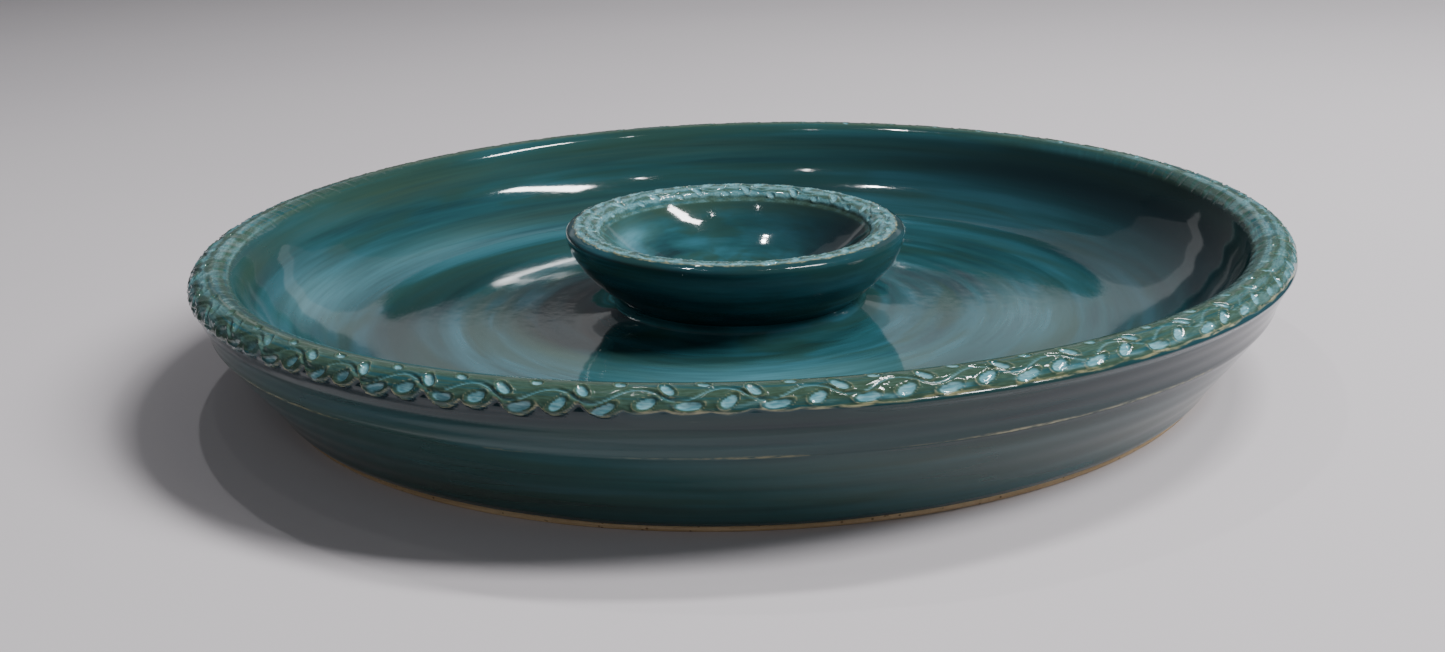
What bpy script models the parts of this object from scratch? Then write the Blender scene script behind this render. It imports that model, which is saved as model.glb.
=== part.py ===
"""A chip and dip server: a wheel-thrown stoneware platter with a dip bowl luted to its centre.

Metres, +Z up. The origin is the centre of the foot, on the surface that the server stands on.
Every piece is turned about Z, so each one is drawn as half of its cross-section, as (radius, height).
"""

import math

import bmesh
import bpy

MM = 0.001
SEGMENTS = 48  # facets round each turned piece, the same on all, so that their gaps stay even
WELD = 0.001 * MM  # points nearer than this are one point
SHARP_ANGLE = math.radians(40)

# Driving dimensions.
GLAZE = 0.5 * MM  # thickness of the fired glaze
GAP = 0.3 * MM  # clearance between pieces that touch
SKIN = GLAZE + GAP  # how far the clay lies under the glazed surface

FOOT_RADIUS = 124.9 * MM
FOOT_RING_INNER_RADIUS = 113.0 * MM
FOOT_RECESS = 3.0 * MM
BARE_FOOT_HEIGHT = 1.9 * MM  # where the glaze stops above the foot

WELL_HEIGHT = 11.5 * MM  # glazed floor of the platter, beside the bowl
WELL_EDGE_RADIUS = 90.0 * MM  # where the floor begins to rise into the wall
WELL_EDGE_HEIGHT = 11.8 * MM

RIM_INNER_RADIUS = 133.6 * MM
RIM_INNER_HEIGHT = 33.3 * MM
RIM_CREST_RADIUS = 139.2 * MM
RIM_CREST_HEIGHT = 37.1 * MM
RIM_RADIUS = 145.0 * MM
RIM_EDGE_HEIGHT = 33.0 * MM
SEAM_RADIUS = 140.9 * MM  # throwing ridge that runs round the outside of the wall
SEAM_HEIGHT = 22.7 * MM

BOWL_FLOOR_HEIGHT = 17.3 * MM
BOWL_RIM_INNER_RADIUS = 37.0 * MM
BOWL_RIM_INNER_HEIGHT = 33.4 * MM
BOWL_RIM_RADIUS = 46.4 * MM
BOWL_RIM_EDGE_HEIGHT = 34.2 * MM
BOWL_NECK_RADIUS = 33.8 * MM  # crease where the bowl meets the joining coil
BOWL_NECK_HEIGHT = 16.5 * MM
BOWL_FOOT_RADIUS = 31.5 * MM
COIL_RADIUS = 47.0 * MM  # where the glazed coil runs out into the floor
SLIP_THICKNESS = 0.6 * MM
SLIP_MARGIN = 0.5 * MM  # how far the slip stays inside the bowl's foot

FOOT_CHAMFER = (0.6 * MM, 0.5 * MM)  # how far it goes in, and how far up
FOOT_RING_SLOPE = 2.0 * MM
GLAZE_STOP_RADIUS = FOOT_RADIUS + 1.0 * MM
COIL_CHAMFER = (0.5 * MM, 0.4 * MM)

# The two handles of each curved stretch of the glazed surface.
BOWL_INSIDE_HANDLES = ((14 * MM, BOWL_FLOOR_HEIGHT), (27.4 * MM, 23.4 * MM))
BOWL_RIM_HANDLES = ((37.6 * MM, 36.3 * MM), (45.6 * MM, 36.6 * MM))
BOWL_OUTSIDE_HANDLES = ((46.2 * MM, 27.5 * MM), (39.5 * MM, 21.5 * MM))
COIL_HANDLES = ((32.4 * MM, 15.2 * MM), (36.5 * MM, 11.6 * MM))
WELL_HANDLES = ((112 * MM, 12.2 * MM), (127 * MM, 19 * MM))
RIM_RISE_HANDLES = ((134.3 * MM, 35.4 * MM), (136.6 * MM, RIM_CREST_HEIGHT))
RIM_FALL_HANDLES = ((142.2 * MM, RIM_CREST_HEIGHT), (144.6 * MM, 35.4 * MM))
LIP_HANDLES = ((144.9 * MM, 31.2 * MM), (142.4 * MM, 28 * MM))
WALL_HANDLES = ((137.8 * MM, 17.6 * MM), (130.5 * MM, 8.5 * MM))

# How many straight steps draw each stretch.
INSIDE_STEPS = 6
BOWL_STEPS = 5
RIM_STEPS = 3

# Heights worked out from the ones above.
PLATTER_FLOOR = WELL_HEIGHT - SKIN
SLIP_BOTTOM = PLATTER_FLOOR + GAP
BOWL_BOTTOM = SLIP_BOTTOM + SLIP_THICKNESS + GAP


def clear_scene():
    for thing in list(bpy.data.objects):
        bpy.data.objects.remove(thing, do_unlink=True)


def curve(start, handles, end, steps):
    """Points along a cubic Bezier curve, with both its ends."""
    corners = (start, *handles, end)
    points = [start]
    for step in range(1, steps + 1):
        t = step / steps
        weights = ((1 - t) ** 3, 3 * t * (1 - t) ** 2, 3 * t * t * (1 - t), t**3)
        points.append(tuple(sum(w * c[axis] for w, c in zip(weights, corners)) for axis in (0, 1)))
    return points


def inset(line, distance):
    """The line moved to its right: into the ware, for a line drawn from the bowl to the foot."""
    moved = []
    for i, (radius, height) in enumerate(line):
        before = line[max(i - 1, 0)]
        after = line[min(i + 1, len(line) - 1)]
        back = math.atan2(height - before[1], radius - before[0]) if i else None
        ahead = math.atan2(after[1] - height, after[0] - radius) if i < len(line) - 1 else back
        back = ahead if back is None else back
        half = math.remainder(ahead - back, math.tau) / 2
        facing = back + half - math.pi / 2
        reach = distance / math.cos(half)
        moved.append((max(radius + reach * math.cos(facing), 0.0), height + reach * math.sin(facing)))
    if line[0][0] == 0:
        moved[0] = (0.0, moved[0][1])
    return moved


def bowl_inside():
    """The glazed inside of the dip bowl, from its centre up to its rim."""
    rim = (BOWL_RIM_INNER_RADIUS, BOWL_RIM_INNER_HEIGHT)
    return curve((0.0, BOWL_FLOOR_HEIGHT), BOWL_INSIDE_HANDLES, rim, INSIDE_STEPS)


def bowl_rim():
    """The crowned rim of the dip bowl, from its inner edge to its outer one."""
    inner = (BOWL_RIM_INNER_RADIUS, BOWL_RIM_INNER_HEIGHT)
    outer = (BOWL_RIM_RADIUS, BOWL_RIM_EDGE_HEIGHT)
    return curve(inner, BOWL_RIM_HANDLES, outer, BOWL_STEPS)


def bowl_outside():
    """The flared wall of the dip bowl, from its rim down to the crease at its foot."""
    rim = (BOWL_RIM_RADIUS, BOWL_RIM_EDGE_HEIGHT)
    neck = (BOWL_NECK_RADIUS, BOWL_NECK_HEIGHT)
    return curve(rim, BOWL_OUTSIDE_HANDLES, neck, BOWL_STEPS)


def coil_surface():
    """The concave skirt that blends the bowl into the platter's floor."""
    neck = (BOWL_NECK_RADIUS, BOWL_NECK_HEIGHT)
    return curve(neck, COIL_HANDLES, (COIL_RADIUS, WELL_HEIGHT), INSIDE_STEPS)


def platter_inside():
    """The floor and the inner wall of the platter, from the coil out to the rim."""
    edge = (WELL_EDGE_RADIUS, WELL_EDGE_HEIGHT)
    rim = (RIM_INNER_RADIUS, RIM_INNER_HEIGHT)
    return [(COIL_RADIUS, WELL_HEIGHT)] + curve(edge, WELL_HANDLES, rim, INSIDE_STEPS)


def platter_rim():
    """The rounded rim of the platter, over its crest to the outer edge."""
    inner = (RIM_INNER_RADIUS, RIM_INNER_HEIGHT)
    crest = (RIM_CREST_RADIUS, RIM_CREST_HEIGHT)
    edge = (RIM_RADIUS, RIM_EDGE_HEIGHT)
    return joined(
        curve(inner, RIM_RISE_HANDLES, crest, RIM_STEPS),
        curve(crest, RIM_FALL_HANDLES, edge, RIM_STEPS),
    )


def platter_outside():
    """The underside of the lip and the outer wall, from the rim down to where the glaze stops."""
    edge = (RIM_RADIUS, RIM_EDGE_HEIGHT)
    seam = (SEAM_RADIUS, SEAM_HEIGHT)
    stop = (GLAZE_STOP_RADIUS, BARE_FOOT_HEIGHT)
    return joined(
        curve(edge, LIP_HANDLES, seam, RIM_STEPS),
        curve(seam, WALL_HANDLES, stop, RIM_STEPS),
    )


def joined(*lines):
    """One line from several that meet end to end."""
    whole = list(lines[0])
    for line in lines[1:]:
        whole += line[1:]
    return whole


def turned(name, outline, material):
    """A solid of revolution about Z from a half cross-section. Its ends on the axis are left open there."""
    mesh = bpy.data.meshes.new(name)
    work = bmesh.new()
    verts = [work.verts.new((radius, 0.0, height)) for radius, height in outline]
    closed = outline[0][0] > 0 or outline[-1][0] > 0
    pairs = list(zip(verts, verts[1:])) + ([(verts[-1], verts[0])] if closed else [])
    profile = verts + [work.edges.new(pair) for pair in pairs]
    whole_turn = {"cent": (0, 0, 0), "axis": (0, 0, 1), "angle": math.tau}
    bmesh.ops.spin(work, geom=profile, steps=SEGMENTS, use_merge=True, **whole_turn)
    bmesh.ops.remove_doubles(work, verts=work.verts, dist=WELD)
    bmesh.ops.recalc_face_normals(work, faces=work.faces)
    work.to_mesh(mesh)
    work.free()
    mesh.shade_smooth()
    mesh.set_sharp_from_angle(angle=SHARP_ANGLE)
    mesh.materials.append(material)
    piece = bpy.data.objects.new(name, mesh)
    bpy.context.scene.collection.objects.link(piece)
    return piece


def principled(name, colour, roughness, coat=0.0):
    material = bpy.data.materials.new(name)
    material.use_nodes = True
    shader = material.node_tree.nodes["Principled BSDF"]
    shader.inputs["Base Color"].default_value = (*colour, 1.0)
    shader.inputs["Roughness"].default_value = roughness
    shader.inputs["Metallic"].default_value = 0.0
    shader.inputs["Coat Weight"].default_value = coat
    material.diffuse_color = (*colour, 1.0)
    return material


def make_platter():
    """The thrown clay platter: floor, foot ring, flared wall and rim, with bare clay at the foot."""
    over = inset(joined(platter_inside(), platter_rim(), platter_outside()), SKIN)
    over[0] = (over[0][0], PLATTER_FLOOR)
    foot = [
        (FOOT_RADIUS, FOOT_CHAMFER[1]),
        (FOOT_RADIUS - FOOT_CHAMFER[0], 0.0),
        (FOOT_RING_INNER_RADIUS, 0.0),
        (FOOT_RING_INNER_RADIUS - FOOT_RING_SLOPE, FOOT_RECESS),
        (0.0, FOOT_RECESS),
    ]
    clay = principled("stoneware", (0.46, 0.34, 0.22), 0.85)
    return turned("platter_body", [(0.0, PLATTER_FLOOR)] + over + foot, clay)


def make_bowl():
    """The thrown clay dip bowl, with the flat foot that is luted down."""
    over = inset(joined(bowl_inside(), bowl_rim(), bowl_outside()), SKIN)
    foot = [
        (BOWL_FOOT_RADIUS, BOWL_NECK_HEIGHT - 2 * SKIN),
        (BOWL_FOOT_RADIUS, BOWL_BOTTOM),
        (0.0, BOWL_BOTTOM),
    ]
    clay = principled("bowl_stoneware", (0.47, 0.35, 0.23), 0.85)
    return turned("dip_bowl_body", over + foot, clay)


def make_coil():
    """The clay coil worked round the bowl's foot, which makes the skirt under the glaze."""
    skirt = [point for point in inset(coil_surface(), SKIN) if point[1] > SLIP_BOTTOM + GAP]
    inner = BOWL_FOOT_RADIUS + GAP
    top = BOWL_NECK_HEIGHT - SKIN - 2 * GAP
    outline = [
        (inner, SLIP_BOTTOM),
        (inner, top - COIL_CHAMFER[1]),
        (inner + COIL_CHAMFER[0], top),
        *skirt[2:],
        (skirt[-1][0] + GAP, SLIP_BOTTOM),
    ]
    clay = principled("coil_stoneware", (0.44, 0.32, 0.20), 0.85)
    return turned("joining_coil", outline, clay)


def make_slip():
    """The thin disc of slip between the bowl's foot and the platter's floor."""
    edge = BOWL_FOOT_RADIUS - SLIP_MARGIN
    top = SLIP_BOTTOM + SLIP_THICKNESS
    slip = principled("slip", (0.52, 0.40, 0.28), 0.9)
    return turned("luting_slip", [(0.0, top), (edge, top), (edge, SLIP_BOTTOM), (0.0, SLIP_BOTTOM)], slip)


def make_glaze():
    """The one coat of glaze that runs from the bowl over the platter and stops above the foot."""
    bowl = joined(bowl_inside(), bowl_rim(), bowl_outside(), coil_surface())
    surface = joined(bowl, platter_inside(), platter_rim(), platter_outside())
    glass = principled("teal_glaze", (0.045, 0.17, 0.19), 0.08, coat=0.5)
    return turned("glaze_coat", surface + inset(surface, GLAZE)[::-1], glass)


clear_scene()
make_platter()
make_bowl()
make_coil()
make_slip()
make_glaze()
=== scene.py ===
"""Looks of the chip and dip server: its thrown and stamped clay, its teal glaze, and a plain studio.

Lengths are in millimetres until a mesh is made, and in metres in Blender. Azimuth 0 is the front of the
ware (-Y), and it grows towards +X. Every turned surface is drawn as a profile of (radius, height) points,
from the axis outwards, and a place on it is (azimuth, distance along the profile).
"""

import math

import bpy
import numpy as np
from mathutils import Matrix, Vector


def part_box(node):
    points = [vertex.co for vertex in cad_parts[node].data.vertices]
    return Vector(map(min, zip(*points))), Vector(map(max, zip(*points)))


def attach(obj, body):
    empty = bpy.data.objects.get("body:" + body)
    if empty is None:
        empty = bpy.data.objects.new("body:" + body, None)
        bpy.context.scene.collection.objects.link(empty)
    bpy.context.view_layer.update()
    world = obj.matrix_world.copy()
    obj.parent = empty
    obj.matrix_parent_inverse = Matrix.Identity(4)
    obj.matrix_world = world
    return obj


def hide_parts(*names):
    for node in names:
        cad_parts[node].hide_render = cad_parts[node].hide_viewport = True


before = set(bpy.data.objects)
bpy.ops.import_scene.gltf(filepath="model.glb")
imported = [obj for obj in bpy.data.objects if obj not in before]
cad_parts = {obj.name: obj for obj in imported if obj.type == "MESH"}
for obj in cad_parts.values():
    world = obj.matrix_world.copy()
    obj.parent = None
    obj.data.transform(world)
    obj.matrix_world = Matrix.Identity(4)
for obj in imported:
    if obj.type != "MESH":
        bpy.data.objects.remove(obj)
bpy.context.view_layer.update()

MM = 0.001
TURN = math.tau

# ---------------------------------------------------------------- camera

CAMERA_DISTANCE = 0.4495
CAMERA_ELEVATION = 0.3153
CAMERA_YAW = -0.0127
CAMERA_PITCH = 0.0120
CAMERA_ROLL = -0.0348
CAMERA_LENS = 39.86


def make_camera():
    data = bpy.data.cameras.new("view")
    data.lens = CAMERA_LENS
    data.sensor_width = 36.0
    data.clip_start = 0.01
    data.clip_end = 50.0
    camera = bpy.data.objects.new("view", data)
    bpy.context.scene.collection.objects.link(camera)
    dip = CAMERA_PITCH - CAMERA_ELEVATION
    ahead = Vector(
        (math.sin(CAMERA_YAW) * math.cos(dip), math.cos(CAMERA_YAW) * math.cos(dip), math.sin(dip))
    )
    side = ahead.cross(Vector((0, 0, 1))).normalized()
    up = side.cross(ahead)
    right = math.cos(CAMERA_ROLL) * side + math.sin(CAMERA_ROLL) * up
    top = math.cos(CAMERA_ROLL) * up - math.sin(CAMERA_ROLL) * side
    turn = Matrix((right, top, -ahead)).transposed().to_4x4()
    place = (0, -CAMERA_DISTANCE * math.cos(CAMERA_ELEVATION), CAMERA_DISTANCE * math.sin(CAMERA_ELEVATION))
    camera.matrix_world = Matrix.Translation(place) @ turn
    bpy.context.scene.camera = camera


make_camera()

# ---------------------------------------------------------------- profiles, in mm

BOWL_CENTRE = (0.0, 17.3)
BOWL_INNER_EDGE = (37.0, 33.4)
BOWL_OUTER_EDGE = (46.4, 34.2)
NECK = (33.8, 16.5)
SKIRT_END = (47.0, 11.5)
FLOOR_END = (97.0, 11.8)
RIM_INNER = (133.6, 33.3)
RIM_CREST = (139.2, 37.1)
RIM_EDGE = (145.0, 33.0)
SEAM = (140.9, 22.7)
GLAZE_STOP = (125.9, 1.9)
FOOT_RADIUS = 124.9
FOOT_RING_INNER = 113.0
FOOT_RECESS = 3.0
BAND_START = (137.5, 36.8)

# The foot's corners: (distance in from its outer or inner edge, height)
FOOT_BEVEL = ((0.08, 0.32), (0.28, 0.12), (0.6, 0.0))
RECESS_CORNER = ((0.0, 0.0), (0.3, 0.25), (1.6, 2.6), (2.1, 2.95))

GLAZE_THICKNESS = 0.62
CLAY_DEPTH = 0.8  # of the clay's surface under the glazed one
BOWL_FOOT_RADIUS = 31.5
COIL_INNER_RADIUS = 31.8
FINE = 0.05  # step between a profile's points


def bend(start, pull_start, pull_end, end):
    """Close points along a cubic Bezier curve, without its end."""
    size = math.dist(start, pull_start) + math.dist(pull_start, pull_end) + math.dist(pull_end, end)
    t = np.linspace(0, 1, int(size / FINE), endpoint=False)[:, None]
    a, b, c, d = (np.array(p, float) for p in (start, pull_start, pull_end, end))
    return (1 - t) ** 3 * a + 3 * t * (1 - t) ** 2 * b + 3 * t * t * (1 - t) * c + t**3 * d


def straight(start, end):
    """Close points along a line, without its end."""
    t = np.linspace(0, 1, max(int(math.dist(start, end) / FINE), 2), endpoint=False)[:, None]
    return np.array(start, float) * (1 - t) + np.array(end, float) * t


class Profile:
    """A half section as close points, with the distance along it and the direction out of the ware."""

    def __init__(self, *stretches, end):
        self.points = np.vstack([*stretches, [end]])
        steps = np.linalg.norm(np.diff(self.points, axis=0), axis=1)
        self.along = np.concatenate([[0], np.cumsum(steps)])
        self.length = self.along[-1]

    def at(self, along):
        return np.stack([np.interp(along, self.along, self.points[:, i]) for i in (0, 1)], -1)

    def out(self, along, reach=0.35):
        """The unit normal on the left of the profile: out of the clay."""
        ahead = self.at(np.minimum(along + reach, self.length)) - self.at(np.maximum(along - reach, 0))
        normal = np.stack([-ahead[..., 1], ahead[..., 0]], -1)
        return normal / np.linalg.norm(normal, axis=-1, keepdims=True)

    def find(self, point):
        """How far along the profile it passes nearest to a point."""
        return float(self.along[np.argmin(np.linalg.norm(self.points - np.array(point), axis=1))])


BOWL = Profile(
    bend(BOWL_CENTRE, (14, 17.3), (27.4, 23.4), BOWL_INNER_EDGE),
    bend(BOWL_INNER_EDGE, (37.6, 36.3), (45.6, 36.6), BOWL_OUTER_EDGE),
    bend(BOWL_OUTER_EDGE, (46.2, 27.5), (39.5, 21.5), NECK),
    end=NECK,
)
PLATTER = Profile(
    bend(NECK, (32.4, 15.2), (36.5, 11.6), SKIRT_END),
    straight(SKIRT_END, FLOOR_END),
    bend(FLOOR_END, (113.5, 12.0), (127, 18.9), RIM_INNER),
    bend(RIM_INNER, (134.3, 35.4), (136.6, 37.1), RIM_CREST),
    bend(RIM_CREST, (142.2, 37.1), (144.6, 35.4), RIM_EDGE),
    bend(RIM_EDGE, (144.9, 31.2), (142.4, 28), SEAM),
    bend(SEAM, (137.8, 17.6), (130.5, 8.5), GLAZE_STOP),
    bend(GLAZE_STOP, (125.6, 1.45), (125.3, 1.4), (125.15, 1.75)),
    end=(125.15, 1.75),
)

# ---------------------------------------------------------------- small numeric tools


def smooth(low, high, value):
    """0 below low, 1 above high, and a smooth rise between them."""
    t = np.clip((value - low) / (high - low), 0, 1)
    return t * t * (3 - 2 * t)


def bump(value, centre, width):
    """1 at the centre, falling away on both sides like a bell."""
    return np.exp(-(((value - centre) / width) ** 2))


def turn_gap(azimuth, centre):
    """The angle from centre to azimuth, in degrees from -180 to 180."""
    return (np.degrees(azimuth) - centre + 180) % 360 - 180


def ripple(azimuth, seed, waves, size):
    """A smooth random line round the ware, from a few whole waves."""
    chance = np.random.default_rng(seed)
    total = np.zeros_like(azimuth)
    for wave in waves:
        total = total + chance.normal() * np.cos(wave * azimuth + chance.uniform(0, TURN))
    return size * total / math.sqrt(len(waves))


# ---------------------------------------------------------------- the roller-stamped vine

PLATTER_REPEATS = 54
BOWL_REPEATS = 17
REPEAT = 16.4  # length of one wave of the vine
VINE_MIDDLE = 5.3
VINE_SWING = 1.55
CREST_AZIMUTH = math.radians(-1.5)
INNER_ROW_START = -4.2
BAND_WIDTH = 9.2
BELOW_BAND = 11.1  # distance across the band to the low line under the lip
LOWEST = -0.5  # the deepest mark, which stays inside the coat

# Each leaf: (distance after the vine's outer turn, distance across the band, half length, half width,
# tilt in degrees, depth)
LEAVES = (
    (-2.6, 4.1, 2.25, 1.15, 43, 0.50),
    (4.4, 2.1, 1.45, 0.85, 14, 0.40),
    (9.6, 6.9, 2.3, 1.15, -26, 0.52),
    (1.9, 7.75, 2.8, 0.9, -13, 0.50),
)
INNER_LEAVES = (
    (0.6, -1.6, 2.9, 1.35, 66, 0.40),
    (8.6, -1.9, 2.9, 1.35, 60, 0.40),
)


def leaf_forms(phase, across, leaves, repeats, chance):
    """Each leaf's own height, hollow and lip, in turn."""
    for start, place, long, wide, tilt, depth in leaves:
        number = np.round(phase - start / REPEAT).astype(int)
        jitter = chance.normal(size=(repeats, 5))[number % repeats]
        dx = (phase - number) * REPEAT - start - 0.22 * jitter[..., 0]
        dy = across - place - 0.15 * jitter[..., 1]
        lean = np.radians(tilt + 7 * jitter[..., 2])
        u = (dx * np.cos(lean) + dy * np.sin(lean)) / (long * (1 + 0.07 * jitter[..., 3]))
        v = (dy * np.cos(lean) - dx * np.sin(lean)) / wide
        v = v + 0.22 * (u * u - 0.4)
        form = np.sqrt(np.abs(u) ** 2.4 + v * v + 1e-9)
        hollow = 1 - smooth(0.45, 1.02, form)
        yield depth * (0.9 + 0.12 * jitter[..., 4]), hollow, bump(form, 1.22, 0.17)


def vine(phase, across, repeats, seed):
    """Relief of the stamp and its masks. phase is in waves, counted from the vine's outer turn."""
    chance = np.random.default_rng(seed)
    wander = 0.18 * np.sin(TURN * phase / 3.7 + 1.1)
    middle = VINE_MIDDLE + wander + VINE_SWING * np.cos(TURN * phase)
    slope = VINE_SWING * TURN / REPEAT * np.sin(TURN * phase)
    off = (across - middle) / np.sqrt(1 + slope**2)
    groove = np.exp(-((off / 0.36) ** 2))
    banks = np.exp(-(((np.abs(off) - 0.72) / 0.26) ** 2))
    height = -0.36 * groove + 0.15 * banks
    recess = groove * 0.5
    edge = banks * 0.45
    for deep, cup, lip in leaf_forms(phase, across, LEAVES, repeats, chance):
        height = height * (1 - 0.9 * cup) - deep * cup + 0.17 * lip * (1 - cup)
        recess = np.maximum(recess * (1 - lip), cup)
        edge = np.maximum(edge * (1 - cup), 0.7 * lip)
    return height, recess, edge


def caps(phase, start, half, rise):
    """A row of round humps, one in each wave."""
    gap = (phase - start / REPEAT + 0.5) % 1 - 0.5
    return rise * np.clip(1 - (gap * REPEAT / half) ** 2, 0, None)


def stamped_band(azimuth, along, start, repeats, shift, overhang, ribbing, seed):
    """The band that the roller left on a rim: height in mm and masks from 0 to 1.

    shift moves the band outwards, overhang hangs it over the lip, and ribbing brings out its inner row.
    """
    across = along - start - shift
    phase = (azimuth - CREST_AZIMUTH) * repeats / TURN - 0.5
    height, recess, edge = vine(phase, across, repeats, seed)
    # The clay that the roller pushed over the lip ends in a scalloped line, where the band hangs over.
    scallops = np.maximum(caps(phase, 9.2, 4.0, 2.3), caps(phase, 1.9, 4.4, 2.8))
    margin = BAND_WIDTH - 0.9 * overhang + overhang * (scallops - 1.5)
    margin = margin + ripple(azimuth, seed + 1, (31, 47, 83), 0.12)
    inside = 1 - smooth(margin - 0.25, margin + 0.2, across)
    opened = smooth(-0.1, 0.9, across)
    beyond = smooth(margin - 0.1, margin + 0.45, across) * (1 - smooth(11.0, 13.0, across))
    lip_line = bump(across, margin, 0.3)
    low_line = bump(across, BELOW_BAND + ripple(azimuth, seed + 2, (19, 41), 0.2), 0.24)
    # Inside the vine is one more row of broad cups, which shows at the sides of the ware.
    ribbed = ribbing * smooth(INNER_ROW_START - 0.5, INNER_ROW_START + 0.9, across)
    ribbed = ribbed * (1 - smooth(-0.1, 1.2, across))
    inner_height, inner_recess, inner_edge = (np.zeros_like(height) for _ in range(3))
    chance = np.random.default_rng(seed + 4)
    for deep, cup, lip in leaf_forms(phase, across, INNER_LEAVES, repeats, chance):
        inner_height = inner_height - deep * cup + 0.15 * lip
        inner_recess, inner_edge = np.maximum(inner_recess, cup), np.maximum(inner_edge, lip)
    height = height * inside * opened + inner_height * ribbed
    height = height + 0.35 * overhang * inside * smooth(2.0, 7.0, across) + 0.16 * overhang * lip_line
    height = np.maximum(height - (0.03 + 0.45 * overhang) * beyond + 0.1 * low_line, LOWEST)
    worn = 0.5 + 0.5 * np.tanh(1.4 * ripple(azimuth, seed + 3, (23, 37, 71, 113), 1.0))
    pooled = 0.5 + 0.5 * np.tanh(1.5 * ripple(azimuth, seed + 6, (27, 44, 67), 1.0))
    pools = 0.5 * (1 - overhang) * bump(across, margin - 1.1, 0.6) * pooled * inside
    recess = (recess * inside * opened + pools) * (1 - 0.45 * ribbing) + 0.3 * inner_recess * ribbed
    edge = edge * inside * opened + 0.4 * inner_edge * ribbed
    edge = edge + lip_line * (0.6 + 0.6 * worn) + 0.5 * low_line * worn
    masks = {
        "recess": np.clip(recess, 0, 1),
        "edge": np.clip(edge, 0, 1),
        "band": np.maximum(ribbed, smooth(-1.2, 0.6, across)) * inside,
        # gap is painted shade on the lip's face below the band, darkest under the overhang.
        "gap": beyond * (0.35 + 0.65 * overhang),
    }
    return height, masks


def throwing(azimuth, along, pitch, size, start, end):
    """The spiral ridge that the potter's fingers leave between two places on the profile."""
    window = smooth(start, start + 6, along) * (1 - smooth(end - 6, end, along))
    uneven = 1 + 0.4 * np.sin(2 * azimuth + 0.11 * along)
    return size * window * uneven * np.sin(TURN * along / pitch + azimuth + 0.5 * np.sin(0.045 * along))


def patch(azimuth, along, centre, place, wide, long, strength):
    """A soft cloud of another colour. centre and wide are in degrees, place and long in mm."""
    return strength * bump(turn_gap(azimuth, centre), 0, wide) * bump(along, place, long)


WALL_SLOPE = (0.572, 0.820)  # up the outer wall, just above the foot

# Places along the platter's profile.
AT_SKIRT_END = PLATTER.find(SKIRT_END)
AT_FLOOR_END = PLATTER.find(FLOOR_END)
AT_RIM_INNER = PLATTER.find(RIM_INNER)
AT_BAND = PLATTER.find(BAND_START)
AT_FACET = AT_BAND + 8.65
AT_CREST = PLATTER.find(RIM_CREST)
AT_EDGE = PLATTER.find(RIM_EDGE)
AT_SEAM = PLATTER.find(SEAM)
AT_STOP = PLATTER.find(GLAZE_STOP)
AT_BOWL_RIM = BOWL.find(BOWL_INNER_EDGE)
AT_BOWL_EDGE = BOWL.find(BOWL_OUTER_EDGE)


def inside_at(radius):
    """Where the platter's inside surface reaches a radius."""
    inside = (PLATTER.along > AT_SKIRT_END) & (PLATTER.along < AT_CREST)
    return float(np.interp(radius, PLATTER.points[inside, 0], PLATTER.along[inside]))


# Clouds in the platter's glaze, some of them painted light and painted shade: (azimuth, place, width in
# degrees, length along the profile, strength)
# Pale clouds: partly the glaze's own paler clouds, partly painted light, as the lit glow on the left inner
# wall and painted reflection on the floor in front of and right of the bowl.
PALE_CLOUDS_AND_PAINTED_LIGHT = (
    (-91, inside_at(119), 13, 8, 0.6),
    (-122, inside_at(114), 22, 5, 0.45),
    (-140, inside_at(106), 26, 3.5, 0.3),
    (4, inside_at(64), 34, 11, 0.6),
    (80, inside_at(78), 22, 9, 0.35),
)
OLIVE_CLOUDS = (
    (-112, inside_at(93), 26, 6, 0.7),
    (-150, inside_at(118), 40, 4, 0.6),
    (-165, inside_at(90), 40, 7, 0.45),
    (20, inside_at(78), 22, 6, 0.55),
    (-50, inside_at(62), 30, 5, 0.5),
)
# Dark clouds of painted shade: on the right and back inner wall, which the key lamp leaves in shade, on the
# floor on both sides of the bowl, and on the outer wall at the right and under the front lip.
PAINTED_SHADE_CLOUDS = (
    (95, inside_at(127), 38, 13, 0.75),
    (140, inside_at(130), 30, 9, 0.6),
    (115, inside_at(108), 40, 9, 0.55),
    (-105, inside_at(90), 34, 11, 0.6),
    (170, inside_at(120), 40, 8, 0.3),
    (62, AT_EDGE + 9, 44, 12, 1.0),
    (0, AT_EDGE + 6, 60, 5, 0.4),
    (115, inside_at(85), 40, 14, 0.35),
    (-75, inside_at(97), 24, 9, 0.5),
)

# Throwing ridges: (pitch, height, start, end), in mm along the profile.
PLATTER_RIDGES = (
    (6.8, 0.008, AT_SKIRT_END - 12, AT_FLOOR_END - 18),
    (7.5, 0.03, AT_FLOOR_END + 4, AT_BAND - 2),
    (4.4, 0.10, AT_EDGE + 2, AT_SEAM),
    (6.1, 0.06, AT_SEAM + 1, AT_STOP - 1),
)
BOWL_RIDGES = (
    (5.5, 0.02, 6, AT_BOWL_RIM - 1),
    (5.0, 0.05, AT_BOWL_EDGE + 2, BOWL.length),
)


def lip_facet(past, steeper):
    """A narrow flat facet that a fingertip left on the lip, and its fall to the wall.

    past is the distance beyond the facet's inner edge.
    """
    rise = np.clip(past, 0, 0.6)
    fall = 1 - smooth(0.65, 1.9, past)
    lead = 0.42 * smooth(-5.5, -1.0, past)
    return (lead + (0.98 + 0.12 * steeper) * rise + 0.10 * rise**2) * fall


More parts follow.
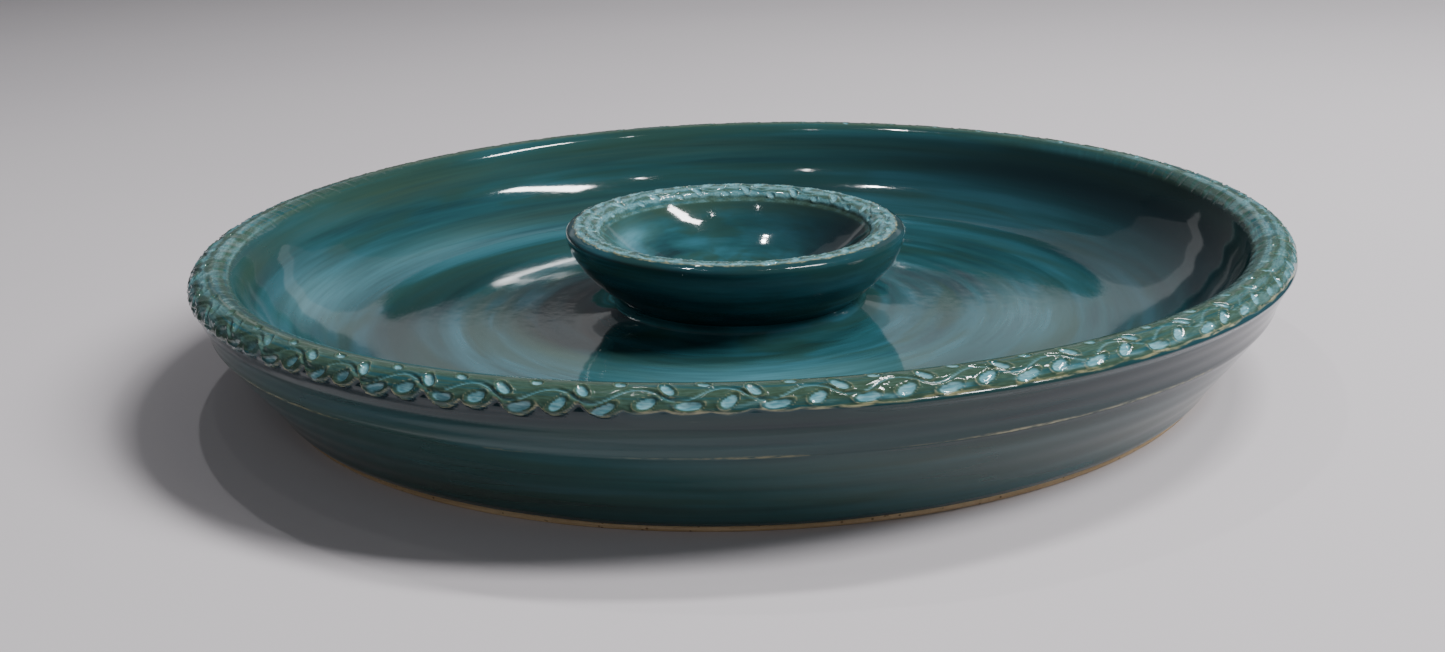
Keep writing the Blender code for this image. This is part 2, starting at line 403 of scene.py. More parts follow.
def platter_relief(azimuth, along):
    """The height of the platter's glazed surface over its profile, and its masks."""
    degrees = turn_gap(azimuth, 0)
    front = 1 - smooth(100, 170, np.abs(degrees))
    # The band hangs over the lip at the left front, and ends on the lip from there to the right.
    shift = 0.8 * (1 - smooth(-16, -5, degrees)) - 0.5 * smooth(8, 17, degrees)
    shift = shift * front + ripple(azimuth, 5, (3, 4, 7), 0.18)
    overhang = 0.2 + 0.8 * (1 - smooth(-14, -4, degrees)) - 0.2 * smooth(4, 12, degrees)
    # At the far left the glaze ran over the stamp and softened it.
    washed = smooth(38, 60, -degrees) * front
    overhang = (overhang * front + 0.3 * (1 - front)) * (1 - 0.65 * washed)
    sides = 0.9 * bump(degrees, -86, 30) + 0.9 * bump(degrees, 80, 34)
    height, masks = stamped_band(azimuth, along, AT_BAND, PLATTER_REPEATS, shift, overhang, sides, 11)
    masks["recess"] = masks["recess"] * (1 - 0.45 * smooth(22, 50, -degrees) * front) * (1 - 0.3 * washed)
    masks["edge"] = masks["edge"] * (1 - 0.5 * washed)
    froth = 0.18 + 0.31 * bump(degrees, -80, 34) + 0.29 * bump(degrees, 88, 46)
    mottle = 0.75 + 0.25 * np.tanh(ripple(azimuth, 26, (29, 53, 97, 141), 1.2) + 2 * np.sin(1.9 * along))
    masks["recess"] = np.maximum(masks["recess"], froth * mottle * masks["band"])
    bead = smooth(4, 14, degrees) * (1 - smooth(48, 75, degrees))
    past_facet = along - AT_FACET - ripple(azimuth, 25, (31, 53), 0.04)
    height = height + bead * lip_facet(past_facet, 1 - smooth(14, 21, degrees))
    for ridge in PLATTER_RIDGES:
        height = height + throwing(azimuth, along, *ridge)
    seam = bump(along, AT_SEAM + ripple(azimuth, 21, (1, 2, 5), 0.35), 0.55)
    height = height + 0.22 * seam + 0.3 * bump(along, AT_STOP - 1.6, 1.4)
    worn = 0.5 + 0.5 * np.tanh(ripple(azimuth, 22, (5, 9, 17, 33), 1.0))
    masks["edge"] = np.maximum(masks["edge"], bump(along, AT_SEAM - 0.1, 0.4) * (0.25 + 0.75 * worn))
    above_seam = 0.45 * bump(along, AT_SEAM - 3.5, 2.2) * (0.6 + 0.4 * ripple(azimuth, 31, (2, 5, 9), 1.0))
    upper_wall = bump(along, inside_at(132.2), 4.5) * (0.75 + 0.25 * ripple(azimuth, 32, (2, 3, 7), 1.0))
    masks["pale"] = above_seam + sum(patch(azimuth, along, *cloud) for cloud in PALE_CLOUDS_AND_PAINTED_LIGHT)
    outside = smooth(AT_EDGE, AT_EDGE + 4, along)
    masks["olive"] = 0.8 * upper_wall + 0.5 * outside
    masks["olive"] += sum(patch(azimuth, along, *cloud) for cloud in OLIVE_CLOUDS)
    # The deep mask darkens the glaze: painted shade under the lip and in the dark clouds, darker lines
    # along two grooves, and a slightly darker inner wall.
    inner_wall = smooth(inside_at(100), inside_at(116), along)
    inner_wall = inner_wall * (1 - smooth(AT_RIM_INNER - 6, AT_RIM_INNER, along))
    shade_under_lip = bump(along, AT_EDGE + 3.2, 1.2) * (0.5 + 0.2 * ripple(azimuth, 33, (3, 8, 13), 1.0))
    grooves = bump(along, AT_EDGE + 7.4, 0.45) + bump(along, AT_SEAM + 1.0, 0.5)
    masks["deep"] = 0.15 * inner_wall + shade_under_lip + 0.45 * grooves * worn
    masks["deep"] += sum(patch(azimuth, along, *cloud) for cloud in PAINTED_SHADE_CLOUDS)
    return height, masks


def bowl_relief(azimuth, along):
    """The height of the bowl's glazed surface over its profile, and its masks."""
    shift = -0.9 + ripple(azimuth, 41, (2, 3), 0.2)
    height, masks = stamped_band(azimuth, along, AT_BOWL_RIM - 0.2, BOWL_REPEATS, shift, 0.15, 0.0, 43)
    for ridge in BOWL_RIDGES:
        height = height + throwing(azimuth, along, *ridge)
    mottle = 0.75 + 0.25 * np.tanh(ripple(azimuth, 46, (19, 31, 47), 1.2) + 2 * np.sin(2.1 * along))
    masks["recess"] = np.maximum(masks["recess"], 0.52 * mottle * masks["band"])
    # Painted light: a lit patch on the bowl's left inner wall and on its outer front-right, where the key
    # lamp falls.
    masks["pale"] = patch(azimuth, along, -105, AT_BOWL_RIM - 7, 20, 3.5, 0.8)
    masks["pale"] += patch(azimuth, along, 30, AT_BOWL_EDGE + 6, 70, 3, 0.35)
    masks["olive"] = 0.6 * bump(along, AT_BOWL_RIM - 3, 3) + patch(azimuth, along, -60, 14, 70, 8, 0.5)
    # Painted shade: the bowl's right inner wall, which the key lamp leaves in shade, and its darker outer
    # wall.
    masks["deep"] = patch(azimuth, along, 100, AT_BOWL_RIM - 8, 75, 12, 1.0)
    masks["deep"] += 0.25 * smooth(AT_BOWL_EDGE + 2, AT_BOWL_EDGE + 8, along)
    return height, masks


# ---------------------------------------------------------------- how the ware warped in the making

RIM_HEIGHT = 37.1
RIM_WARP = 0.64
BOWL_LEAN = (-0.0242, 0.0176)  # rise of the bowl to the right and to the back
BOWL_OFFSET = -1.0


def settle(points):
    """Moves points from the true turned shape to the fired one: the foot stays flat."""
    x, y, z = points[..., 0], points[..., 1], points[..., 2]
    radius = np.hypot(x, y)
    around = np.arctan2(x, -y)
    high = np.clip(z / RIM_HEIGHT, 0, 1) ** 2 * smooth(100, 122, radius)
    lean = smooth(11.9, 16.5, z) * (1 - smooth(60, 80, radius))
    bulge = 0.20 * np.cos(3 * around + 0.6) + 0.12 * np.cos(5 * around + 2.0)
    spread = 1 + high * bulge / np.maximum(radius, 1)
    rise = RIM_WARP * high * np.cos(2 * around) + lean * (BOWL_LEAN[0] * x + BOWL_LEAN[1] * y)
    return np.stack([x * spread + lean * BOWL_OFFSET, y * spread, z + rise], -1)


# ---------------------------------------------------------------- turned surfaces


def ring_places(count):
    return np.arange(count) * TURN / count


def bridge(n0, n1, a, b):
    """Faces between two rings, whose points start at a and b. One count divides the other; 1 is a point."""
    if n0 == n1 == 1:
        return [], []
    n = min(n0, n1) if min(n0, n1) > 1 else max(n0, n1)
    j = np.arange(n)
    k = (j + 1) % n
    if n0 == 1:
        return [], np.stack([np.full(n, a), b + j, b + k], -1).tolist()
    if n1 == 1:
        return [], np.stack([a + j, np.full(n, b), a + k], -1).tolist()
    if n0 == n1:
        return np.stack([a + j, b + j, b + k, a + k], -1).tolist(), []
    share = max(n0, n1) // n
    wide, fine, fine_count = (a, b, n1) if n1 > n0 else (b, a, n0)
    corner, next_corner = wide + j, wide + k
    triangles = []
    for step in range(share):
        first = fine + share * j + step
        second = fine + (share * j + step + 1) % fine_count
        tip = corner if step < share / 2 else next_corner
        triangles.append(np.stack([tip, first, second] if n1 > n0 else [first, tip, second], -1))
    half = fine + share * j + (share + 1) // 2
    triangles.append(np.stack([corner, half, next_corner] if n1 > n0 else [half, corner, next_corner], -1))
    return [], np.concatenate(triangles).tolist()


class Rings:
    """A stack of rings of points, joined by faces, that makes one mesh."""

    def __init__(self):
        self.points, self.counts, self.masks = [], [], []

    def add(self, points, masks=None):
        self.points.append(points)
        self.counts.append(len(points))
        masks = masks or {}
        self.masks.append({key: np.broadcast_to(value, len(points)) for key, value in masks.items()})

    def starts(self):
        return np.concatenate([[0], np.cumsum(self.counts)]).astype(int)

    def faces(self, closed):
        starts = self.starts()
        quads, triangles = [], []
        last = len(self.counts) - (0 if closed else 1)
        for i in range(last):
            j = (i + 1) % len(self.counts)
            more = bridge(self.counts[i], self.counts[j], starts[i], starts[j])
            quads += more[0]
            triangles += more[1]
        return quads, triangles

    def normals(self):
        """Smooth normals over the open stack, in the order of its points."""
        points = np.vstack(self.points)
        quads, triangles = self.faces(closed=False)
        corners = list(triangles)
        for a, b, c, d in quads:
            corners += ((a, b, c), (a, c, d))
        corners = np.array(corners)
        p0, p1, p2 = (points[corners[:, i]] for i in range(3))
        flat = np.cross(p1 - p0, p2 - p0)
        total = np.zeros_like(points)
        for i in range(3):
            np.add.at(total, corners[:, i], flat)
        return total / np.maximum(np.linalg.norm(total, axis=1, keepdims=True), 1e-12)


def place_on(profile, azimuth, along, height):
    """The point of a turned surface, raised out of it by height."""
    base = profile.at(along)
    out = profile.out(along)
    radius = base[..., 0] + out[..., 0] * height
    up = base[..., 1] + out[..., 1] * height
    return settle(np.stack([radius * np.sin(azimuth), -radius * np.cos(azimuth), up], -1))


def glaze_line(azimuth, along):
    """How far the coat's lower edge wanders up the wall, as a move of the points near it."""
    near = smooth(AT_STOP - 6, AT_STOP - 1, along)
    climb = 0.25 + ripple(azimuth, 61, (2, 3, 5, 8, 13), 0.22) + ripple(azimuth, 62, (21, 34), 0.08)
    lift = near * climb
    out, up = WALL_SLOPE
    return np.stack([out * np.sin(azimuth) * lift, -out * np.cos(azimuth) * lift, up * lift], -1)


def glazed_rings(profile, rows, relief):
    """Rings for the glazed surface, with its relief. rows is a list of (place, count)."""
    rings = Rings()
    for place, count in rows:
        azimuth = ring_places(count)
        along = np.full(count, float(place))
        height, masks = relief(azimuth, along)
        points = place_on(profile, azimuth, along, height if count > 1 else height * 0)
        if profile is PLATTER:
            points = points + glaze_line(azimuth, along)
        rings.add(points, dict(masks, along=along))
    return rings


def make_mesh(name, rings, closed, normals=None, sharp=None):
    points = np.vstack(rings.points) * MM
    quads, triangles = rings.faces(closed)
    mesh = bpy.data.meshes.new(name)
    mesh.from_pydata(points.tolist(), [], quads + triangles)
    mesh.update()
    keys = sorted({key for masks in rings.masks for key in masks})
    for key in keys:
        values = np.concatenate(
            [masks.get(key, np.zeros(count)) for masks, count in zip(rings.masks, rings.counts)]
        )
        layer = mesh.attributes.new(key, "FLOAT", "POINT")
        layer.data.foreach_set("value", values.astype(np.float32))
    mesh.shade_smooth()
    if sharp is not None:
        mesh.set_sharp_from_angle(angle=math.radians(sharp))
    if normals is not None:
        mesh.normals_split_custom_set_from_vertices(normals)
    piece = bpy.data.objects.new(name, mesh)
    bpy.context.scene.collection.objects.link(piece)
    return piece


def glaze_piece(name, profile, rings, normals, first, last, back_rows):
    """One stretch of the coat, from ring first to ring last, closed by a plain back against the clay."""
    starts = rings.starts()
    piece = Rings()
    for i in range(first, last + 1):
        piece.add(rings.points[i], rings.masks[i])
    front = normals[starts[first] : starts[last + 1]]
    facing = [front]
    for along, count in back_rows:
        azimuth = ring_places(count)
        place = np.full(count, float(along))
        piece.add(place_on(profile, azimuth, place, -GLAZE_THICKNESS), {"along": place})
        base = place_on(profile, azimuth, place, 0) - place_on(profile, azimuth, place, -1)
        facing.append(-base / np.linalg.norm(base, axis=1, keepdims=True))
    return make_mesh(name, piece, closed=True, normals=np.vstack(facing).tolist())


def spaced(start, end, step):
    """Places from start to end, about one step apart."""
    return list(np.linspace(start, end, max(2, int(round((end - start) / step)) + 1)))


def graded(start, spans):
    """Places from start on, through spans of (end, step)."""
    places = [start]
    for end, step in spans:
        places += spaced(places[-1], end, step)[1:]
    return places


# ---------------------------------------------------------------- materials

GRAPH_GAP = 180


class Graph:
    """A short way to write a material's nodes. A value may be a number, a colour or a node's socket."""

    def __init__(self, name):
        self.material = bpy.data.materials.new(name)
        self.material.use_nodes = True
        self.tree = self.material.node_tree
        self.shader = self.tree.nodes["Principled BSDF"]

    def add(self, kind, values, **settings):
        node = self.tree.nodes.new("ShaderNode" + kind)
        node.location.x = -GRAPH_GAP * len(self.tree.nodes)
        for key, value in settings.items():
            setattr(node, key, value)
        for key, value in values.items():
            self.put(node.inputs[key], value)
        return node

    def put(self, socket, value):
        if isinstance(value, bpy.types.NodeSocket):
            self.tree.links.new(value, socket)
        else:
            socket.default_value = value

    def mask(self, name):
        return self.add("Attribute", {}, attribute_name=name).outputs["Fac"]

    def math(self, operation, a, b=0.0, clamp=False):
        return self.add("Math", {0: a, 1: b}, operation=operation, use_clamp=clamp).outputs[0]

    def noise(self, vector, scale, detail=3.0, rough=0.5, warp=0.0):
        values = {"Vector": vector, "Scale": scale, "Detail": detail}
        values |= {"Roughness": rough, "Distortion": warp}
        return self.add("TexNoise", values).outputs["Fac"]

    def step(self, value, low, high):
        """0 below low, 1 above high, and smooth between them."""
        values = {"Value": value, "From Min": low, "From Max": high}
        return self.add("MapRange", values, interpolation_type="SMOOTHSTEP").outputs["Result"]

    def mix(self, factor, a, b):
        values = {0: factor, 6: a, 7: b}
        return self.add("Mix", values, data_type="RGBA").outputs[2]

    def ramp(self, value, stops):
        node = self.add("ValToRGB", {"Fac": value})
        ramp = node.color_ramp
        while len(ramp.elements) < len(stops):
            ramp.elements.new(0.5)
        for element, (place, colour) in zip(ramp.elements, stops):
            element.position = place
            element.color = (*colour, 1)
        return node.outputs["Color"]

    def turned(self, round_scale, along_scale):
        """A texture place that follows the throwing: slow round the ware, quick along the profile."""
        here = self.add("TexCoord", {}).outputs["Object"]
        flat = self.add("VectorMath", {0: here, 1: (1, 1, 0)}, operation="MULTIPLY").outputs[0]
        facing = self.add("VectorMath", {0: flat}, operation="NORMALIZE").outputs[0]
        facing = self.add("VectorMath", {0: facing, "Scale": round_scale}, operation="SCALE").outputs[0]
        rise = self.math("MULTIPLY", self.mask("along"), along_scale)
        up = self.add("CombineXYZ", {"Z": rise}).outputs[0]
        return self.add("VectorMath", {0: facing, 1: up}, operation="ADD").outputs[0]


def linear(part):
    """One part of a colour as it looks, from 0 to 255, made linear for the renderer."""
    return ((part / 255 + 0.055) / 1.055) ** 2.4 if part > 10 else part / 255 / 12.92


def rgb(*colour):
    return tuple(linear(part) for part in colour)


def rgba(*colour):
    return (*rgb(*colour), 1)


NAVY = (18, 40, 46)
TEAL = (33, 76, 82)
BLUE = (52, 106, 122)
PALE = (98, 154, 168)
OLIVE = (54, 74, 58)
MOSS = (38, 64, 54)
PINE = (64, 88, 74)
POOL = (88, 142, 154)
FROTH = (124, 172, 180)
TAN = (146, 140, 102)
CREAM = (186, 180, 146)


GLAZE_ROUGHNESS = 0.05
EDGE_ROUGHNESS = 0.10
SPECK_ROUGHNESS = 0.03
GLAZE_IOR = 1.5
CLAY_IOR = 1.45


def make_glaze():
    """Glossy glaze: streaked teal with clouds, pale where it pools and tan where it breaks, with some
    painted light from the pale mask and painted shade from the deep and gap masks.
    """
    g = Graph("teal_glaze")
    broad = g.noise(g.turned(0.9, 0.045), 1.0, 3, 0.5, 0.5)
    streaks = g.noise(g.turned(1.0, 0.16), 1.0, 4, 0.5, 0.2)
    threads = g.noise(g.turned(3.2, 0.75), 1.0, 4, 0.6, 0.2)
    grain = g.noise(g.turned(60.0, 2.2), 1.0, 2, 0.5)
    tone = g.math("ADD", g.math("MULTIPLY", streaks, 0.6), g.math("MULTIPLY", broad, 0.4))
    tone = g.math("ADD", tone, g.math("MULTIPLY", g.math("SUBTRACT", threads, 0.5), 0.12))
    colour = g.ramp(tone, ((0.32, rgb(*NAVY)), (0.50, rgb(*TEAL)), (0.74, rgb(*BLUE))))
    green = g.step(g.noise(g.turned(1.4, 0.10), 1.0, 3, 0.5, 0.5), 0.46, 0.62)
    colour = g.mix(g.math("MULTIPLY", green, 0.6), colour, rgba(*MOSS))
    cloud = g.math("ADD", 0.75, g.math("MULTIPLY", g.math("SUBTRACT", threads, 0.5), 1.0))
    # The pale mask is partly the glaze's paler clouds and partly painted light and painted reflection.
    colour = g.mix(g.math("MULTIPLY", g.mask("pale"), cloud, clamp=True), colour, rgba(*PALE))
    colour = g.mix(g.math("MULTIPLY", g.mask("olive"), cloud, clamp=True), colour, rgba(*OLIVE))
    # The deep mask is mostly painted shade, mixed in as navy.
    colour = g.mix(g.mask("deep"), colour, rgba(*NAVY))
    speck = g.step(grain, 0.35, 0.70)
    plateau = g.mix(speck, rgba(*OLIVE), rgba(*PINE))
    plateau = g.mix(g.step(threads, 0.49, 0.67), plateau, rgba(*TEAL))
    colour = g.mix(g.math("MULTIPLY", g.mask("band"), 0.9), colour, plateau)
    # The gap mask is painted shade on the lip's face below the band.
    colour = g.mix(g.mask("gap"), colour, rgba(*NAVY))
    pool = g.mix(speck, rgba(*POOL), rgba(*FROTH))
    colour = g.mix(g.step(g.mask("recess"), 0.15, 0.75), colour, pool)
    broken = g.math("MULTIPLY", g.step(g.mask("edge"), 0.3, 1.0), g.step(grain, 0.25, 0.65))
    rust = g.mix(g.step(threads, 0.4, 0.6), rgba(*TAN), rgba(*CREAM))
    colour = g.mix(g.math("MULTIPLY", broken, 0.7), colour, rust)
    g.put(g.shader.inputs["Base Color"], colour)
    dry = g.math("ADD", GLAZE_ROUGHNESS, g.math("MULTIPLY", g.mask("edge"), EDGE_ROUGHNESS))
    g.put(g.shader.inputs["Roughness"], g.math("ADD", dry, g.math("MULTIPLY", speck, SPECK_ROUGHNESS)))
    g.shader.inputs["IOR"].default_value = GLAZE_IOR
    waves = g.noise(g.turned(9.0, 0.28), 1.0, 2, 0.5)
    pits = g.noise(g.add("TexCoord", {}).outputs["Object"], 900.0, 2, 0.5)
    relief = g.math("ADD", waves, g.math("MULTIPLY", pits, 0.03))
    bumps = g.add("Bump", {"Strength": 0.05, "Distance": 0.0004, "Height": relief})
    g.put(g.shader.inputs["Normal"], bumps.outputs["Normal"])
    return g.material


def make_clay(name, light, dark, speck):
    """Bare clay: matt and sandy, with dark grog and turning lines."""
    g = Graph(name)
    here = g.add("TexCoord", {}).outputs["Object"]
    cloud = g.noise(here, 22.0, 4, 0.55)
    sand = g.noise(here, 900.0, 3, 0.6)
    turning = g.noise(g.turned(3.0, 1.6), 1.0, 3, 0.6)
    tone = g.math("ADD", g.math("MULTIPLY", cloud, 0.5), g.math("MULTIPLY", turning, 0.5))
    colour = g.mix(g.step(tone, 0.35, 0.65), rgba(*dark), rgba(*light))
    colour = g.mix(g.math("MULTIPLY", g.step(sand, 0.45, 0.7), 0.35), colour, rgba(*dark))
    grog = g.add("TexVoronoi", {"Vector": here, "Scale": 520.0}).outputs["Distance"]
    spots = g.math("SUBTRACT", 1.0, g.step(grog, 0.10, 0.20))
    colour = g.mix(g.math("MULTIPLY", spots, 0.7), colour, rgba(*speck))
    g.put(g.shader.inputs["Base Color"], colour)
    g.put(g.shader.inputs["Roughness"], g.math("ADD", 0.74, g.math("MULTIPLY", sand, 0.2)))
    g.shader.inputs["IOR"].default_value = CLAY_IOR
    relief = g.math("ADD", sand, g.math("MULTIPLY", turning, 0.6))
    bumps = g.add("Bump", {"Strength": 0.5, "Distance": 0.0002, "Height": relief})
    g.put(g.shader.inputs["Normal"], bumps.outputs["Normal"])
    return g.material


GLAZE = make_glaze()
STONEWARE = make_clay("bare_stoneware", light=(222, 198, 160), dark=(190, 162, 124), speck=(110, 80, 56))
SLIP = make_clay("dry_slip", light=(206, 184, 150), dark=(176, 150, 116), speck=(120, 96, 70))

# ---------------------------------------------------------------- the ware

# Points round each kind of ring. Each count divides the next finer one.
BACK_COUNT = 297
WALL_COUNT = 2 * BACK_COUNT
BAND_COUNT = 4 * WALL_COUNT
BOWL_COUNT = 12 * BOWL_REPEATS
BAND_FROM = AT_BAND - 4.4
BAND_TO = AT_BAND + 13.2

# How far apart the platter's rows of points are: (end of the span, step), in mm along the profile.
INSIDE_ROWS = ((AT_SKIRT_END, 1.0), (AT_FLOOR_END, 1.25), (BAND_FROM - 1.6, 1.25))
BAND_ROWS = (
    (AT_BAND + 1.0, 0.9),
    (AT_BAND + 8.5, 0.40),  # the vine
    (AT_BAND + 9.4, 0.18),  # the facet on the lip
    (AT_BAND + 11.0, 0.53),
    (BAND_TO, 0.73),
)
OUTSIDE_ROWS = ((AT_STOP, 0.8), (PLATTER.length, 0.16))


def finish_piece(piece, material, slot, *nodes):
    piece.data.materials.append(material)
    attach(piece, "root")
    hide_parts(*nodes)


def make_platter_glaze():
    rows = [(place, WALL_COUNT) for place in graded(0, INSIDE_ROWS)]
    first_band = len(rows) - 1
    rows += [(BAND_FROM - 0.8, BAND_COUNT // 2)]
    rows += [(place, BAND_COUNT) for place in graded(BAND_FROM, BAND_ROWS)]
    rows += [(BAND_TO + 0.8, BAND_COUNT // 2)]
    first_outside = len(rows)
    rows += [(place, WALL_COUNT) for place in graded(BAND_TO + 1.6, OUTSIDE_ROWS)]
    rings = glazed_rings(PLATTER, rows, platter_relief)
    normals = rings.normals()
    pieces = (
        ("platter_inside_glaze", 0, first_band, 4.0),
        ("platter_rim_glaze", first_band, first_outside, 1.6),
        ("platter_outside_glaze", first_outside, len(rows) - 1, 3.0),
    )
    for name, first, last, step in pieces:
        low, high = rows[first][0], min(rows[last][0], AT_STOP)
        back = [(high, WALL_COUNT)] + [(place, BACK_COUNT) for place in spaced(low, high, step)[::-1][1:-1]]
        back += [(low, WALL_COUNT)]
        piece = glaze_piece(name, PLATTER, rings, normals, first, last, back)
        finish_piece(piece, GLAZE, "glaze", "glaze_coat")


def make_bowl_glaze():
    count = BOWL_COUNT
    band_from, band_to = AT_BOWL_RIM - 2.4, AT_BOWL_EDGE + 2.2
    rows = [(0, 1)] + [(place, count) for place in spaced(0.6, band_from - 1.6, 0.9)]
    rows += [(band_from - 0.8, count * 2)]
    rows += [(place, count * 4) for place in spaced(band_from, band_to, 0.4)]
    rows += [(band_to + 0.8, count * 2)]
    rows += [(place, count) for place in spaced(band_to + 1.6, BOWL.length, 0.7)]
    rings = glazed_rings(BOWL, rows, bowl_relief)
    back = [(place, count) for place in spaced(0.6, BOWL.length, 2.0)[::-1]] + [(0, 1)]
    piece = glaze_piece("dip_bowl_glaze", BOWL, rings, rings.normals(), 0, len(rows) - 1, back)
    finish_piece(piece, GLAZE, "glaze", "glaze_coat")


def under(profile, start, end, depth, step=1.0):
    """Points of the clay's surface, at a depth under the glaze."""
    along = np.array(spaced(start, end, step))
    return profile.at(along) - depth * profile.out(along)


def clay_piece(name, outline, count, material, slot, node, relief=None, sharp=35):
    """A turned clay solid from its whole outline. Points on the axis become the poles of the mesh."""
    rings = Rings()
    travelled = 0.0
    before = outline[0]
    for radius, up in outline:
        travelled += math.dist(before, (radius, up))
        before = (radius, up)
        azimuth = ring_places(1 if radius < 1e-6 else count)
        push = relief(azimuth, radius, up) if relief and radius > 1e-6 else np.zeros((len(azimuth), 2))
        x = (radius + push[:, 0]) * np.sin(azimuth)
        y = -(radius + push[:, 0]) * np.cos(azimuth)
        points = settle(np.stack([x, y, up + push[:, 1]], -1))
        rings.add(points, {"along": np.full(len(azimuth), travelled)})
    piece = make_mesh(name, rings, closed=outline[0][0] > 1e-6, sharp=sharp)
    finish_piece(piece, material, slot, node)


def foot_relief(azimuth, radius, up):
    """Trimming marks on the bare clay: a spiral in the recess, fine lines and wear on the foot ring."""
    push = np.zeros((len(azimuth), 2))
    if up < 3.5 and radius < FOOT_RING_INNER:
        push[:, 1] = 0.10 * np.sin(TURN * radius / 3.4 + azimuth) * smooth(2, 8, radius)
        push[:, 1] += 0.05 * np.sin(TURN * radius / 1.3 + 2 * azimuth)
    elif up < 0.2 and radius < FOOT_RADIUS - 0.5:
        push[:, 1] = 0.05 + 0.04 * np.sin(TURN * radius / 1.9 + azimuth)
    elif up < 2.2 and radius > FOOT_RADIUS - 0.7:
        push[:, 0] = 0.05 * np.sin(TURN * up / 0.6) + ripple(azimuth, 71, (7, 19, 43), 0.04)
    return push


def make_platter_clay():
    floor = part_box("joining_coil")[0].z / MM - 0.3
    top = [(radius, floor) for radius in np.arange(0, SKIRT_END[0] - 2, 3.0)]
    wall = under(PLATTER, AT_SKIRT_END, AT_STOP, CLAY_DEPTH, 1.5)
    top += [(SKIRT_END[0] - 0.5, floor)] + [tuple(point) for point in wall]
    radius, up = top[-1]
    bare = [(radius + (FOOT_RADIUS - radius) * t, up + (0.55 - up) * t) for t in np.linspace(0.15, 1, 7)]
    bare += [(FOOT_RADIUS - inward, height) for inward, height in FOOT_BEVEL]
    ring = [(r, 0.0) for r in np.arange(FOOT_RADIUS - 1.2, FOOT_RING_INNER + 0.4, -0.55)]
    step = [(FOOT_RING_INNER - inward, height) for inward, height in RECESS_CORNER]
    recess = [(r, FOOT_RECESS) for r in np.arange(FOOT_RING_INNER - 3.0, 0.5, -0.8)]
    outline = top + bare + ring + step + recess + [(0.0, FOOT_RECESS)]
    clay_piece("platter_clay", outline, BACK_COUNT, STONEWARE, "stoneware", "platter_body", foot_relief)


def make_bowl_clay():
    foot, bottom = BOWL_FOOT_RADIUS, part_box("dip_bowl_body")[0].z / MM
    over = [tuple(point) for point in under(BOWL, 0, BOWL.length, CLAY_DEPTH, 1.5)]
    over[0] = (0.0, over[0][1])
    outline = over + [(foot, NECK[1] - 1.6), (foot, bottom + 1.2), (foot, bottom)]
    outline += [(r, bottom) for r in np.arange(foot - 3, 2, -4.0)] + [(0.0, bottom)]
    clay_piece("dip_bowl_clay", outline, BOWL_COUNT, STONEWARE, "stoneware", "dip_bowl_body")


def make_coil_clay():
    low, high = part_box("joining_coil")
    floor, top, inner = low.z / MM, high.z / MM, COIL_INNER_RADIUS
    skirt = [tuple(point) for point in under(PLATTER, 2.2, AT_SKIRT_END, CLAY_DEPTH, 1.0)]
    skirt = [point for point in skirt if point[1] > floor + 0.25 and point[1] < top]
    outline = [(inner, floor), (inner, floor + 1.8), (inner, top - 0.4), (inner + 0.5, top - 0.05)] + skirt
    outline += [(skirt[-1][0] + 0.4, floor), (40.0, floor), (36.0, floor)]
    clay_piece("joining_coil_clay", outline, BOWL_COUNT, STONEWARE, "stoneware", "joining_coil")


def slip_relief(azimuth, radius, up):
    """The slip squeezed out a little unevenly all round."""
    return np.stack([ripple(azimuth, 81, (5, 9, 17), 0.12), np.zeros_like(azimuth)], -1)


def make_slip_layer():
    low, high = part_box("luting_slip")
    bottom, top, edge = low.z / MM, high.z / MM, high.x / MM - 0.35
    face = list(np.arange(0, edge - 1, 4.0))
    outline = [(r, top) for r in face] + [(edge - 0.4, top), (edge, top - 0.12)]
    outline += [(edge + 0.1, (top + bottom) / 2), (edge, bottom + 0.12), (edge - 0.4, bottom)]
    outline += [(r, bottom) for r in face[::-1]]
    clay_piece("luting_slip_layer", outline, BOWL_COUNT, SLIP, "slip", "luting_slip", slip_relief)


make_platter_glaze()
make_bowl_glaze()
make_platter_clay()
make_bowl_clay()
make_coil_clay()
make_slip_layer()

# ---------------------------------------------------------------- the studio

AIR_COLOUR = (0.86, 0.90, 0.96, 1)
AIR_STRENGTH = 0.10
PAPER_LIGHT = (206, 201, 204)
PAPER_DARK = (196, 191, 196)

FLOOR_HALF = 3.5
SWEEP_START = 2.6
SWEEP_RADIUS = 0.8
SWEEP_TOP = 2.6


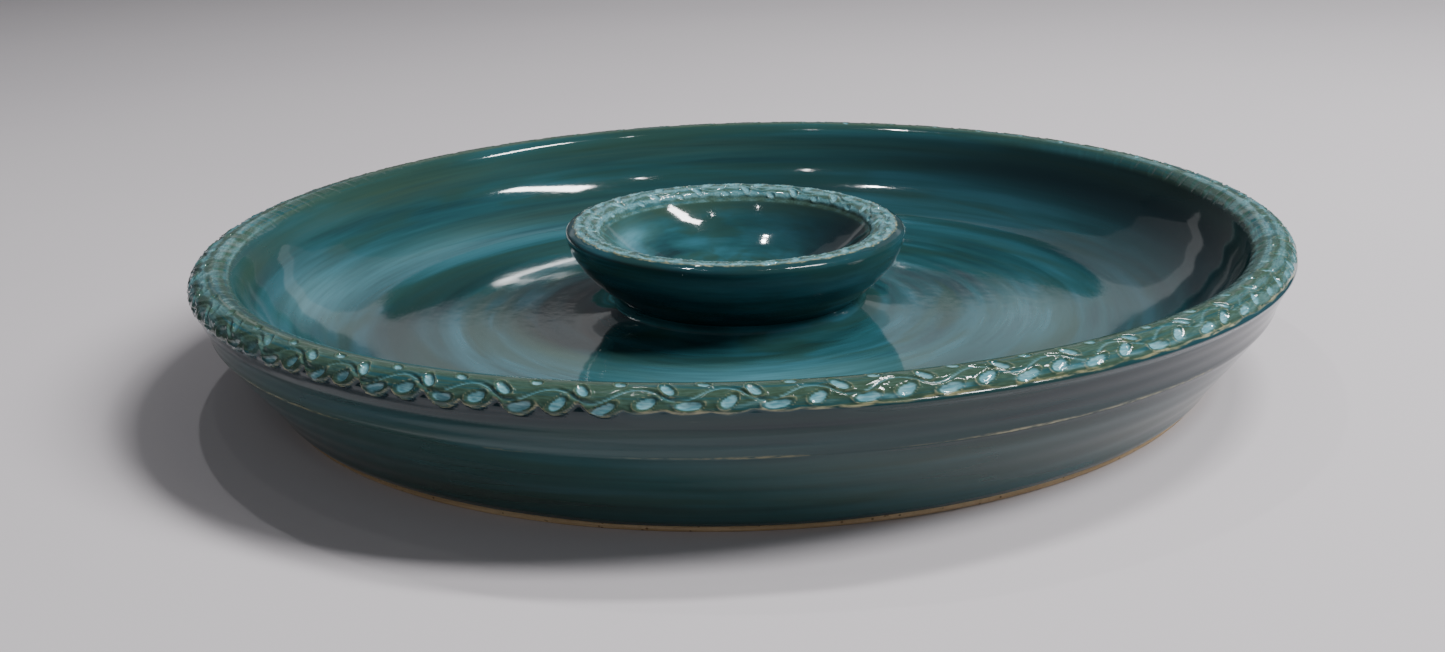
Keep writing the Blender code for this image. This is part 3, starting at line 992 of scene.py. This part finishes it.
def make_stage():
    """A pale floor that sweeps up into a backdrop."""
    side = [(-FLOOR_HALF, 0.0), (-1.2, 0.0), (0.0, 0.0), (SWEEP_START, 0.0)]
    for angle in np.linspace(0, math.pi / 2, 17)[1:]:
        side.append((SWEEP_START + SWEEP_RADIUS * math.sin(angle), SWEEP_RADIUS * (1 - math.cos(angle))))
    side.append((SWEEP_START + SWEEP_RADIUS, SWEEP_TOP))
    xs = np.linspace(-FLOOR_HALF, FLOOR_HALF, 13)
    points = [(x, y, z) for y, z in side for x in xs]
    wide = len(xs)
    faces = [
        (i * wide + j, i * wide + j + 1, (i + 1) * wide + j + 1, (i + 1) * wide + j)
        for i in range(len(side) - 1)
        for j in range(wide - 1)
    ]
    mesh = bpy.data.meshes.new("studio_sweep")
    mesh.from_pydata(points, [], faces)
    mesh.shade_smooth()
    sweep = bpy.data.objects.new("studio_sweep", mesh)
    bpy.context.scene.collection.objects.link(sweep)
    g = Graph("pale_paper")
    tint = g.noise(g.add("TexCoord", {}).outputs["Object"], 2.5, 3, 0.5)
    g.put(g.shader.inputs["Base Color"], g.mix(tint, rgba(*PAPER_DARK), rgba(*PAPER_LIGHT)))
    g.shader.inputs["Roughness"].default_value = 0.85
    g.shader.inputs["Specular IOR Level"].default_value = 0.2
    mesh.materials.append(g.material)


WARE = (0.0, 0.0, 0.02)

# Each lamp: (name, direction from the ware, distance, width, depth, turn in degrees, power, whether the
# gloss shows it)
LAMPS = (
    ("soft_key", (0.690, -0.185, 0.730), 1.50, 0.30, 0.74, 0, 27.0, False),
    ("soft_front", (-0.25, -0.80, 0.60), 1.60, 1.10, 1.10, 0, 2.6, False),
    ("back_panel", (0.0, 0.949, 0.316), 1.45, 1.35, 0.100, 0, 0.15, True),
    ("back_panel_high", (0.0, 0.879, 0.477), 1.45, 1.30, 0.43, 0, 0.26, True),
    ("long_lamp", (0.404, 0.127, 0.895), 1.20, 0.31, 0.095, 66, 8.6, True),
    ("round_lamp_left", (-0.178, 0.323, 0.930), 1.30, 0.036, 0.030, 0, 1.5, True),
    ("round_lamp_middle", (-0.169, -0.091, 0.981), 1.30, 0.020, 0.020, 0, 0.2, True),
    ("round_lamp_right", (0.215, -0.018, 0.977), 1.30, 0.020, 0.020, 0, 0.2, True),
)


def area_light(name, direction, distance, wide, deep, turn, power, seen):
    data = bpy.data.lights.new(name, "AREA")
    data.shape = "RECTANGLE" if seen and wide > 2 * deep else "ELLIPSE"
    data.size, data.size_y = wide, deep
    data.energy = power
    lamp = bpy.data.objects.new(name, data)
    bpy.context.scene.collection.objects.link(lamp)
    away = Vector(direction).normalized()
    aim = away.to_track_quat("Z", "Y").to_matrix().to_4x4() @ Matrix.Rotation(math.radians(turn), 4, "Z")
    lamp.matrix_world = Matrix.Translation(Vector(WARE) + away * distance) @ aim
    lamp.visible_glossy = seen
    lamp.visible_camera = False


def make_world():
    world = bpy.data.worlds.new("studio_air")
    world.use_nodes = True
    air = world.node_tree.nodes["Background"]
    air.inputs["Color"].default_value = AIR_COLOUR
    air.inputs["Strength"].default_value = AIR_STRENGTH
    bpy.context.scene.world = world


make_stage()
make_world()
for lamp in LAMPS:
    area_light(*lamp)
